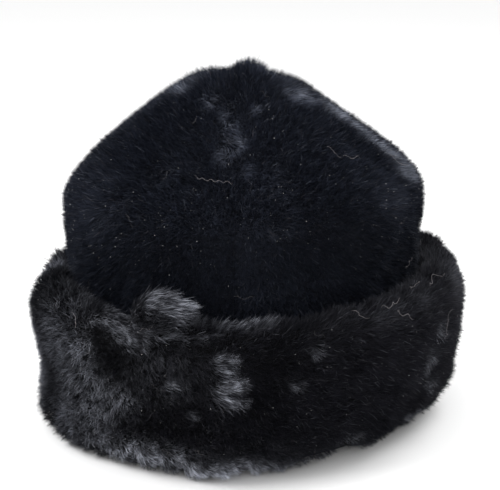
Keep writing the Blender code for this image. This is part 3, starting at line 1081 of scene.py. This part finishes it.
def patchesAt(patches, angle, height, radius, turn):
    # how much painted sheen the pile gets, how far it is combed over and which way, from a table of
    # soft patches
    edge = 1.5  # a patch is flat in the middle and ends more steeply than a bell
    sway = 2.0  # how soon a patch turns the strands its own way
    # the painted sheen that the patches add, where a negative patch takes it away again
    light = np.zeros(angle.shape)
    comb = np.zeros(angle.shape)
    for place, patchAngle, patchHeight, wide, high, lighter, over, way in patches:
        apart = (angle - patchAngle + 180.0) % 360.0 - 180.0
        away = (np.radians(apart) * radius / wide) ** 2 + ((height - patchHeight) / high) ** 2
        share = np.exp(-away ** edge)
        light += lighter * share
        comb += over * share
        turn = turn + (way - turn) * np.clip(share * abs(over) * sway, 0, 1)
    return np.clip(light, 0, None), comb, turn


def wandering(angle, height, seed, look, highest=2):
    # a factor that wanders softly about 1, the same on each run
    factor = 1 + look["wandering"] * softWaves(angle, height, seed)
    return np.clip(factor, look["lowest"], highest)


def strandFields(pile, backing, angle, patches, turn, light, wild):
    # all that the strands follow, by place: their length, lie, tone with painted shade on the crown,
    # painted sheen and wildness
    height = pile[..., 2]
    radius = np.hypot(pile[..., 0], pile[..., 1])
    paintedSheenField, comb, turn = patchesAt(patches, angle, height, radius, turn)
    return {
        "grow": (pile - backing) * mm,
        "nap": napField(backing, turn),
        "light": light,
        "paintedSheenField": paintedSheenField,
        "comb": comb,
        "wild": wild,
    }


wildness = {"wandering": 0.3, "lowest": 0.3}
bothPiles = {
    "Frizz": 0.28,
    "Shortest": 1.02,
    "Longest": 1.34,
    "Long hairs": 0.015,
    "Pale hairs": 0.03,
    "Paleness": 8.0,
    # tufts, raggedness and wisps break up the painted sheen
    "Tuft size": 0.003,
    "Raggedness": 8.0,
    "Wisps": 1.8,
}
crownPile = {
    **bothPiles,
    "Seed": 20,
    "Strands per square metre": 3.35e6,
    "Lock size": 0.0028,
    "Lock pull": 0.32,
    "Lie over": 0.05,
    "Bend": 0.32,
    "Ruffle size": 0.009,
    "Ruffle": 0.6,
}
# patches of painted sheen: the pile is painted lighter where the combed fur catches the light, as on
# the lit edges
crownPatches = [
    # place, angle, height, wide, high, painted sheen added, combed over, which way
    ("ruffled seam", 43, 179, 7, 15, 2.6, 0.3, 60),
    ("ruffled seam, top", 27, 195, 4, 5, 7.0, 0.5, 150),
    ("ruffled seam, under it", 40, 188, 4, 4, 3.5, 0.5, 150),
    ("ruffled seam, upper", 43, 181, 4, 3, 4.0, 0.5, 20),
    ("ruffled seam, middle", 45, 175, 5, 4, 7.0, 0.8, 20),
    ("ruffled seam, beside it", 41, 170, 5, 3, 3.0, 0.5, 170),
    ("ruffled seam, lower", 50, 164, 4, 4, 1.6, 0.5, 30),
    ("fleck over the seam", 58, 189, 3, 2, 5.0, 0.5, -20),
    ("pale slope at the front", 14, 161, 13, 5, 1.6, 0.3, 0),
    ("pale slope under it", 8, 148, 10, 4, 1.4, 0.3, 0),
    ("pale slope beside the join", 62, 158, 8, 12, 0.7, 0.2, 60),
    ("top edge at the left", -14, 199, 9, 4, 7.0, 0.4, 200),
    ("beside the tip", 106, 195, 9, 5, 12.0, 0.7, 40),
    ("slope at the side, upper", 123, 184, 7, 8, 16.0, 0.6, 30),
    ("slope at the side, middle", 124, 167, 8, 9, 18.0, 0.5, 30),
    ("slope at the side, lower", 121, 151, 9, 6, 16.0, 0.5, 40),
    ("back slope", 205, 170, 20, 12, 5.0, 0.3, 40),
    ("back shoulder", 172, 142, 18, 7, 4.0, 0.3, 20),
    ("right slope", 285, 165, 18, 12, 5.0, 0.3, 130),
    ("shoulder at the front", 0, 136, 13, 6, 1.4, 0.2, 0),
    ("shoulder by the seam", 58, 134, 16, 4, 1.0, 0.2, 0),
    ("shoulder at the side", 104, 140, 14, 9, 0.8, 0.2, 0),
    ("lit edge at the side", 133, 102, 3, 18, 5.0, 0.0, 0),
    ("lit edge at the front", -43, 102, 3, 16, 4.0, 0.0, 0),
]
# which way the strands lie, in degrees: 0 goes round the hat, 90 goes down
crownLie = {"turn": 90.0, "towardsSeams": 30.0, "waves": 35.0}
# painted light and shade on the crown's pile: the slopes lighter than the wall, the two sides darker,
# times a random tone
crownPaintedLightAndTone = {
    "wall": 0.9,
    "slopePaintedLight": 0.85,
    "slopeLead": 6.0,  # how far below the wall's top the slopes' painted light starts
    "slopeBlend": 30.0,
    "facing": 45.0,  # the two sides square to this angle get painted shade
    "sidesPaintedShade": 0.45,
    "sidesSpread": 0.4,
    "wandering": 0.15,
    "lowest": 0.4,
}
cuffPile = {
    **bothPiles,
    "Seed": 40,
    "Strands per square metre": 3.1e6,
    "Lock size": 0.0030,
    "Lock pull": 0.4,
    "Lie over": 0.18,
    "Bend": 0.46,
    "Ruffle size": 0.010,
    "Ruffle": 0.7,
}
# patches of painted sheen, with painted light along the lower band; a negative patch takes the
# painted sheen away, as in the dark hollow
cuffPatches = [
    # place, angle, height, wide, high, painted sheen added, combed over, which way
    ("crest at the front", -12, 92, 30, 10, 5.0, 0.2, 10),
    ("crest at the left edge", -38, 96, 16, 16, 20.0, 0.1, 0),
    ("sheen at the edge", -34, 46, 26, 34, 24.0, -0.1, 90),
    ("sheen at the front, upper", -8, 66, 23, 24, 20.0, 0.0, 60),
    ("sheen at the front, middle", 4, 42, 22, 15, 20.0, 0.1, 60),
    ("sheen at the front, lower", -6, 20, 32, 15, 20.0, 0.1, 60),
    ("sheen before the hollow", 2, 66, 9, 15, 21.0, 0.1, 60),
    ("outer edge at the left", -36, 84, 9, 22, 14.0, 0.0, 90),
    ("sheen under the hollow", 13, 46, 13, 8, 13.0, 0.1, 60),
    ("dark hollow", 13, 67, 5, 8, -26.0, 0.0, 40),
    ("dark patch under it", 31, 37, 16, 7, -9.0, 0.0, 40),
    ("combed streaks, upper", 8, 89, 13, 6, 11.0, 0.7, 6),
    ("combed streaks, at the crest", 16, 94, 8, 4, 9.0, 0.6, 6),
    ("combed streaks, lower", 17, 88, 15, 5, 11.0, 0.7, 6),
    ("fan under the streaks", 15, 80, 13, 5, 9.0, 0.5, 14),
    ("end of the streaks", 27, 86, 8, 2.6, 16.0, 0.8, 6),
    ("beside the hollow", 19, 77, 8, 5, 5.0, 0.4, 14),
    ("tuft on the crest, left", 19, 107, 8, 7, 5.0, 0.5, 0),
    ("tuft on the crest, middle", 24, 108, 9, 7, 14.5, 0.6, 4),
    ("tuft on the crest, right", 29.5, 106, 8, 6, 18.0, 0.6, 8),
    ("under the tuft", 29, 97, 16, 4, 7.0, 0.4, 10),
    ("dapples under the tuft", 26, 62, 26, 22, 3.5, 0.1, 20),
    ("bright patch, top", 42, 71, 5.5, 3, 50.0, 1.1, -14),
    ("bright patch, waist", 42, 65, 5, 2.6, 40.0, 1.1, 4),
    ("bright patch, right wing", 44, 58, 6, 3, 48.0, 1.1, -10),
    ("bright patch, left wing", 41, 54, 4.5, 2.6, 26.0, 1.1, 6),
    ("bright patch, foot", 43.5, 49.5, 5.5, 3, 29.0, 1.1, 14),
    ("crest fringe", 46, 95, 19, 5, 23.0, 0.6, -15),
    ("crest fringe, lower", 36, 86, 10, 3, 12.0, 0.6, -10),
    ("small patch at the front", 28, 57, 3.6, 2.2, 34.0, 0.9, 0),
    ("small patch under it", 33, 40, 4, 2.4, 24.0, 0.7, 20),
    ("small patch beside the join", 65, 76, 4, 2.4, 16.0, 0.8, 60),
    ("fleck under it", 60, 55, 3, 2, 22.0, 0.8, 30),
    ("lower band, left", 15, 11, 30, 10, 32.0, 0.3, 40),
    ("lower band, middle", 26, 13, 20, 7, 10.0, 0.3, 35),
    ("lower band, right", 42, 6, 30, 7, 46.0, 0.4, 30),
    ("lower side at the front", 46, 16, 40, 8, 2.0, 0.1, 30),
    ("lower edge at the side", 76, 4, 34, 6, 6.0, 0.3, 30),
    ("crest at the side", 92, 87, 44, 10, 2.2, 0.1, 0),
    ("outer edge of the crest", 128, 84, 24, 14, 4.0, 0.1, 0),
    ("fleck at the side, upper", 109, 64, 4, 3, 26.0, 0.8, 120),
    ("fleck at the side, middle", 104, 47, 4, 5, 21.0, 0.8, 100),
    ("fleck at the side, lower", 106, 33, 4, 2, 21.0, 0.8, 60),
    ("fleck on the lower edge", 104, 13, 8, 3, 20.0, 0.7, 10),
    ("patch by the join", 80, 12, 8, 4, 16.0, 0.6, 20),
    ("back sheen, upper", 183, 57, 22, 13, 9.0, 0.2, 60),
    ("back sheen, lower", 196, 27, 34, 13, 11.0, 0.2, 35),
    ("back patch, upper", 155, 71, 5, 3, 26.0, 0.9, 0),
    ("back patch, lower", 160, 64, 6, 2.6, 22.0, 0.9, 20),
    ("back crest", 222, 90, 20, 6, 11.0, 0.5, -10),
    ("right sheen, upper", 254, 59, 20, 13, 9.0, 0.2, 60),
    ("right sheen, lower", 268, 29, 30, 13, 10.0, 0.2, 35),
    ("right patch, upper", 297, 66, 6, 3, 26.0, 0.9, 170),
    ("right patch, middle", 302, 59, 4.5, 2.6, 22.0, 0.9, 190),
    ("right patch, lower", 298, 52, 6, 2.6, 20.0, 0.9, 165),
]
cuffLie = {"turn": 8.0, "waves": 26.0}
cuffTone = {"wandering": 0.2, "lowest": 0.4}

crownTree = makePileTree("crown pile strands", crownStrand)
for n, (side, middle) in enumerate(gores):
    pile, backing, angle = crownFaces(
        middle, crownShape["strandRows"], crownShape["strandColumns"], crownShape["pileFrom"],
    )
    height = pile[..., 2]
    spread = crownLie["towardsSeams"] * (angle - middle) / goreHalf
    waves = softWaves(angle, height, crownSeeds["turn"])
    turn = crownLie["turn"] - spread + crownLie["waves"] * waves
    # painted light and shade: the slopes are painted lighter than the wall and the sides darker, with
    # a random tone on top
    overWall = height - crownShape["wallTop"] + crownPaintedLightAndTone["slopeLead"]
    overWall = np.clip(overWall / crownPaintedLightAndTone["slopeBlend"], 0, 1)
    facing = np.cos(np.radians(angle - crownPaintedLightAndTone["facing"])) ** 2
    paintedSideShade = 1 - crownPaintedLightAndTone["sidesPaintedShade"] * np.exp(-facing / crownPaintedLightAndTone["sidesSpread"])
    light = (crownPaintedLightAndTone["wall"] + crownPaintedLightAndTone["slopePaintedLight"] * overWall) * paintedSideShade
    light = light * wandering(angle, height, crownSeeds["light"], crownPaintedLightAndTone)
    wild = wandering(angle, height, crownSeeds["wild"], wildness)
    fields = strandFields(pile, backing, angle, crownPatches, turn, light, wild)
    emitter = makeEmitter(f"crown_{side}_emitter", backing, fields)
    settings = {**crownPile, "Seed": crownPile["Seed"] + n}
    growPile(
        f"crown_{side}_pile", crownTree, emitter, settings, f"crown_gore_{side}",
    )

cuffTree = makePileTree("cuff pile strands", cuffStrand)
for n, (side, middle) in enumerate(gores):
    across = np.linspace(-1, 1, cuffShape["strandColumns"] + 1)
    pile, backing, angle = cuffFaces(middle + goreHalf * across, cuffShape["strandRows"])
    height = pile[..., 2]
    waves = softWaves(angle, height, cuffSeeds["turn"])
    turn = cuffLie["turn"] + cuffLie["waves"] * waves
    light = wandering(angle, height, cuffSeeds["light"], cuffTone)
    wild = wandering(angle, height, cuffSeeds["wild"], wildness)
    fields = strandFields(pile, backing, angle, cuffPatches, turn, light, wild)
    emitter = makeEmitter(f"cuff_{side}_emitter", backing, fields)
    settings = {**cuffPile, "Seed": cuffPile["Seed"] + n}
    growPile(f"cuff_{side}_pile", cuffTree, emitter, settings, "cuff")
for blade in list(blades.objects):
    bpy.data.objects.remove(blade, do_unlink=True)
print("pile made")


# Stray curly hairs and specks of lint that lie on the pile

def pileGrid(rows=80):
    # the whole pile's outer face in mm, one column to a degree, to place small things on
    angle = np.linspace(0.0, 360.0, 361)
    crown = [crownFaces(middle, rows, 90, crownShape["pileFrom"])[0] for side, middle in gores]
    return {
        "crown": np.concatenate([grid[:, :-1] for grid in crown], axis=1),
        "cuff": cuffFaces(angle, rows)[0][:, :-1],
    }


pileFace = pileGrid()
gridStart = {"crown": -goreHalf, "cuff": 0.0}
wayOut = {"slopeFrom": 128.0, "slopeOver": 60.0, "crownMost": 0.9, "cuff": 0.1}


def onPile(part, angle, height):
    # the point of the pile's outer face there, and the way out of it
    grid = pileFace[part]
    column = int(round(angle - gridStart[part])) % grid.shape[1]
    rows = grid[:, column]
    peak = len(rows) if part == "crown" else int(np.argmax(rows[:, 2])) + 1
    point = np.array([np.interp(height, rows[:peak, 2], rows[:peak, axis]) for axis in range(3)])
    out = np.array([point[0], point[1], 0.0])
    out /= np.linalg.norm(out) + 1e-9
    slope = wayOut["cuff"]
    if part == "crown":
        over = (point[2] - wayOut["slopeFrom"]) / wayOut["slopeOver"]
        slope = np.clip(over, 0, wayOut["crownMost"])
    return point, out * (1 - slope) + np.array([0.0, 0.0, slope])


strayHairs = {
    "thickness": 0.11,
    "thinnest": 0.07,
    "sides": 3,
    "steps": 48,
    "smoothings": 2,
    "smoothedOver": 5,
    "above": 1.2,  # from the pile's outer face
    "aboveSwing": 0.5,
    "taper": 0.12,  # in radians, so that no end is quite a point
    "count": 90,
    "heights": {"crown": (90, 196), "cuff": (6, 90)},
    "acrossMost": 6,
    "downMost": 5,
    "waves": (0.3, 1.6),
    "waveHeight": (0.3, 1.5),
    "paleness": (0.0, 0.3),
    "namedPaleness": 0.85,
    "named": [
        # place, part, angle from, height from, angle to, height to, waves, wave height
        ("wave on the front slope", "crown", 32, 158.5, 46, 155, 5.0, 1.5),
        ("curl on the side slope", "crown", 86, 168, 90, 163, 0.8, 1.0),
        ("curl beside it", "crown", 90, 163, 98, 161, 1.6, 0.8),
        ("curl at the shoulder", "crown", 112, 160, 119, 150, 1.2, 0.9),
        ("curl on the crest", "cuff", 84, 89, 92, 90, 2.5, 1.4),
        ("curl under it", "cuff", 88, 86, 93, 80, 1.8, 1.2),
        ("curl at the cuff's side", "cuff", 111, 74, 107, 58, 2.5, 1.8),
        ("curl over the crest", "cuff", 104, 90, 116, 92, 2.0, 1.5),
        ("curl at the crown's foot", "crown", 108, 96, 112, 101, 2.2, 0.9),
        ("curl on the crest at the side", "cuff", 97, 92, 103, 94, 1.8, 1.0),
        ("small curl beside it", "cuff", 76, 90, 80, 86, 1.0, 1.2),
        ("curl under the tuft", "cuff", 22, 84, 26, 90, 1.0, 1.5),
        ("curl at the front", "cuff", -2, 86, 2, 80, 1.0, 1.2),
    ],
}


def hairPath(part, start, end, waves, waveHeight, phase):
    # a wavy way over the pile, evened out since a hair bridges the small dents
    points = []
    count = strayHairs["steps"] + 1
    for t in np.linspace(0.0, 1.0, count):
        angle = start[0] + (end[0] - start[0]) * t
        height = start[1] + (end[1] - start[1]) * t
        point, out = onPile(part, angle, height)
        swing = waveHeight * math.sin(2 * math.pi * waves * t + phase)
        reach = math.cos(2 * math.pi * waves * t + phase)
        point = point + out * (strayHairs["above"] + strayHairs["aboveSwing"] * reach)
        points.append(point + np.array([0.0, 0.0, swing]))
    window = strayHairs["smoothedOver"]
    for n in range(strayHairs["smoothings"]):
        points = [points[0]] * (window // 2) + list(points) + [points[-1]] * (window // 2)
        points = sum(np.array(points[k:k + count]) for k in range(window)) / window
    return points


def chooseHairs():
    # a path, thickness and paleness for each hair: the named ones are thick and pale
    draw = np.random.default_rng(61)
    thick, thin = strayHairs["thickness"], strayHairs["thinnest"]
    acrossMost, downMost = strayHairs["acrossMost"], strayHairs["downMost"]
    hairs = [
        (
            hairPath(part, (angleFrom, heightFrom), (angleTo, heightTo), waves, high, 0.0),
            thick,
            strayHairs["namedPaleness"],
        )
        for place, part, angleFrom, heightFrom, angleTo, heightTo, waves, high
        in strayHairs["named"]
    ]
    for n in range(strayHairs["count"]):
        part = "crown" if n % 2 else "cuff"
        low, high = strayHairs["heights"][part]
        angle, height = draw.uniform(0, 360), draw.uniform(low, high)
        across, down = draw.uniform(-acrossMost, acrossMost), draw.uniform(-downMost, downMost)
        end = (angle + across, min(max(height + down, low), high))
        waves = draw.uniform(*strayHairs["waves"])
        waveHeight = draw.uniform(*strayHairs["waveHeight"])
        phase = draw.uniform(0, anyPhase)
        path = hairPath(part, (angle, height), end, waves, waveHeight, phase)
        hairs.append((path, draw.uniform(thin, thick), draw.uniform(*strayHairs["paleness"])))
    return hairs


def makeStrayHairs():
    # a thin tube along each hair's path, thinner towards both ends
    points, faces, pale = [], [], []
    sides, taper = strayHairs["sides"], strayHairs["taper"]
    for path, thickness, paleness in chooseHairs():
        along = np.gradient(path, axis=0)
        along /= np.linalg.norm(along, axis=1, keepdims=True) + 1e-9
        first = np.cross(along, (0.0, 0.0, 1.0)) + 1e-6
        first /= np.linalg.norm(first, axis=1, keepdims=True)
        second = np.cross(along, first)
        thinned = np.sin(np.linspace(taper, math.pi - taper, len(path)))[:, None] ** 0.5
        base, count = len(points), len(path)
        for k in range(sides):
            turn = 2 * math.pi * k / sides
            away = first * math.cos(turn) + second * math.sin(turn)
            points.extend((path + away * thinned * thickness / 2).tolist())
        for k in range(sides):
            here, there = base + k * count, base + (k + 1) % sides * count
            for i in range(count - 1):
                faces.append((here + i, there + i, there + i + 1, here + i + 1))
        faces.append(tuple(base + k * count for k in reversed(range(sides))))
        faces.append(tuple(base + k * count + count - 1 for k in range(sides)))
        pale.extend([paleness] * (sides * count))
    return points, faces, pale


lintSpecks = {
    "count": 1200,
    "size": (0.12, 0.36),
    "width": (0.4, 1.0),
    "flatness": (0.3, 0.8),
    "shaken": (0.6, 1.2),
    "above": (-0.6, 1.2),
    "onCrown": 3,  # of each five
    "crownHeights": (94, 126, 198),
    "cuffHeights": (8, 86),
}


def makeLint():
    # small uneven grains of eight sides, more of them on the crown than on the cuff
    draw = np.random.default_rng(71)
    corners = np.array([[1, 0, 0], [-1, 0, 0], [0, 1, 0], [0, -1, 0], [0, 0, 1], [0, 0, -1]])
    sides = [(0, 2, 4), (2, 1, 4), (1, 3, 4), (3, 0, 4), (2, 0, 5), (1, 2, 5), (3, 1, 5), (0, 3, 5)]
    points, faces, pale = [], [], []
    for n in range(lintSpecks["count"]):
        part = "crown" if n % 5 < lintSpecks["onCrown"] else "cuff"
        angle = draw.uniform(0, 360)
        if part == "crown":
            height = draw.triangular(*lintSpecks["crownHeights"])
        else:
            height = draw.uniform(*lintSpecks["cuffHeights"])
        point, out = onPile(part, angle, height)
        size = draw.uniform(*lintSpecks["size"])
        width, flatness = draw.uniform(*lintSpecks["width"]), draw.uniform(*lintSpecks["flatness"])
        stretch = np.array([1.0, width, flatness]) * size
        base = len(points)
        shaken = corners * stretch * draw.uniform(*lintSpecks["shaken"], (len(corners), 1))
        points.extend((shaken + point + out * draw.uniform(*lintSpecks["above"])).tolist())
        faces.extend(tuple(base + i for i in side) for side in sides)
        pale.extend([draw.uniform(0, 1)] * len(corners))
    return points, faces, pale


def makeLooseMaterial(name, dull, light, perMetre):
    # each hair or speck has its own paleness, mottled a little along it
    mottle = 0.6
    material, tree, shader = newMaterial(name)
    coords = addNode(tree, "ShaderNodeTexCoord")
    spread = addNode(tree, "ShaderNodeTexNoise")
    spread.inputs["Scale"].default_value = perMetre
    pale = addNode(tree, "ShaderNodeAttribute", attribute_name="pale")
    mottled = addNode(tree, "ShaderNodeMath", operation="MULTIPLY_ADD")
    mottled.inputs[1].default_value = mottle
    fade = addNode(tree, "ShaderNodeMix", data_type="RGBA")
    fade.inputs["A"].default_value = (*dull, 1.0)
    fade.inputs["B"].default_value = (*light, 1.0)
    shift = addNode(tree, "ShaderNodeMath", operation="SUBTRACT")
    shift.inputs[1].default_value = mottle / 2
    links = tree.links
    links.new(coords.outputs["Object"], spread.inputs["Vector"])
    links.new(spread.outputs["Fac"], mottled.inputs[0])
    links.new(pale.outputs["Fac"], shift.inputs[0])
    links.new(shift.outputs["Value"], mottled.inputs[2])
    links.new(mottled.outputs["Value"], fade.inputs["Factor"])
    links.new(fade.outputs["Result"], shader.inputs["Base Color"])
    shader.inputs["Roughness"].default_value = 0.6
    shader.inputs["Specular IOR Level"].default_value = 0.3
    return material


def finishLoose(name, made, material):
    points, faces, pale = made
    data = bpy.data.meshes.new(name)
    data.from_pydata(toFrame(points).tolist(), [], faces)
    data.shade_smooth()
    data.materials.append(material)
    data.attributes.new("pale", "FLOAT", "POINT").data.foreach_set("value", pale)
    piece = bpy.data.objects.new(name, data)
    bpy.context.scene.collection.objects.link(piece)
    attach(piece, "root")


hairMaterial = makeLooseMaterial(
    "stray hair", dull=(0.03, 0.03, 0.035), light=(0.44, 0.41, 0.42), perMetre=60.0,
)
lintMaterial = makeLooseMaterial(
    "lint", dull=(0.05, 0.055, 0.06), light=(0.60, 0.60, 0.60), perMetre=90.0,
)
finishLoose("stray_hairs", makeStrayHairs(), hairMaterial)
finishLoose("lint_specks", makeLint(), lintMaterial)
print("stray hairs and lint made")


# Studio: pale floor, soft light and the camera

studio = {"floorSize": 60.0, "floorColour": (0.94, 0.94, 0.94), "world": 1.0, "lampsAim": 0.1}


def makeFloor():
    half = studio["floorSize"] / 2
    data = bpy.data.meshes.new("floor")
    corners = [(-half, -half, 0), (half, -half, 0), (half, half, 0), (-half, half, 0)]
    data.from_pydata(corners, [], [(0, 1, 2, 3)])
    material, tree, shader = newMaterial("pale floor")
    shader.inputs["Base Color"].default_value = (*studio["floorColour"], 1.0)
    shader.inputs["Roughness"].default_value = 0.9
    shader.inputs["Specular IOR Level"].default_value = 0.1
    data.materials.append(material)
    floor = bpy.data.objects.new("floor", data)
    bpy.context.scene.collection.objects.link(floor)


def makeWorld():
    world = bpy.data.worlds.new("pale room")
    world.use_nodes = True
    sky = world.node_tree.nodes["Background"]
    sky.inputs["Color"].default_value = (1.0, 1.0, 1.0, 1.0)
    sky.inputs["Strength"].default_value = studio["world"]
    bpy.context.scene.world = world
    bpy.context.scene.view_settings.view_transform = "Standard"


def wayTo(azimuth, elevation):
    # the unit vector from the hat towards a lamp or the camera
    turn, rise = math.radians(azimuth), math.radians(elevation)
    level = math.cos(rise)
    return Vector((math.sin(turn) * level, -math.cos(turn) * level, math.sin(rise)))


def makeLight(name, azimuth, elevation, distance, size, power):
    data = bpy.data.lights.new(name, "AREA")
    data.shape = "DISK"
    data.size = size
    data.energy = power
    lamp = bpy.data.objects.new(name, data)
    away = wayTo(azimuth, elevation)
    lamp.location = Vector((0, 0, studio["lampsAim"])) + away * distance
    lamp.rotation_euler = away.to_track_quat("Z", "Y").to_euler()
    bpy.context.scene.collection.objects.link(lamp)


photoView = {
    "azimuth": 45.0,
    "elevation": 15.3,
    "distance": 0.765,
    "aimHeight": 0.10,
    "lens": 92.6,
    "shift": (0.006, -0.003),
}


def makeCamera():
    data = bpy.data.cameras.new("camera")
    data.lens = photoView["lens"]
    data.shift_x, data.shift_y = photoView["shift"]
    camera = bpy.data.objects.new("camera", data)
    away = wayTo(photoView["azimuth"], photoView["elevation"])
    aim = Vector((ovalMiddle[0], ovalMiddle[1], photoView["aimHeight"]))
    camera.location = aim + away * photoView["distance"]
    camera.rotation_euler = away.to_track_quat("Z", "Y").to_euler()
    bpy.context.scene.collection.objects.link(camera)
    bpy.context.scene.camera = camera


makeFloor()
makeWorld()
makeLight(
    "soft light on the left", azimuth=-35, elevation=40, distance=1.3, size=0.9, power=14.0,
)
makeLight("soft light behind", azimuth=165, elevation=50, distance=1.4, size=0.9, power=12.0)
makeCamera()
print("studio made")
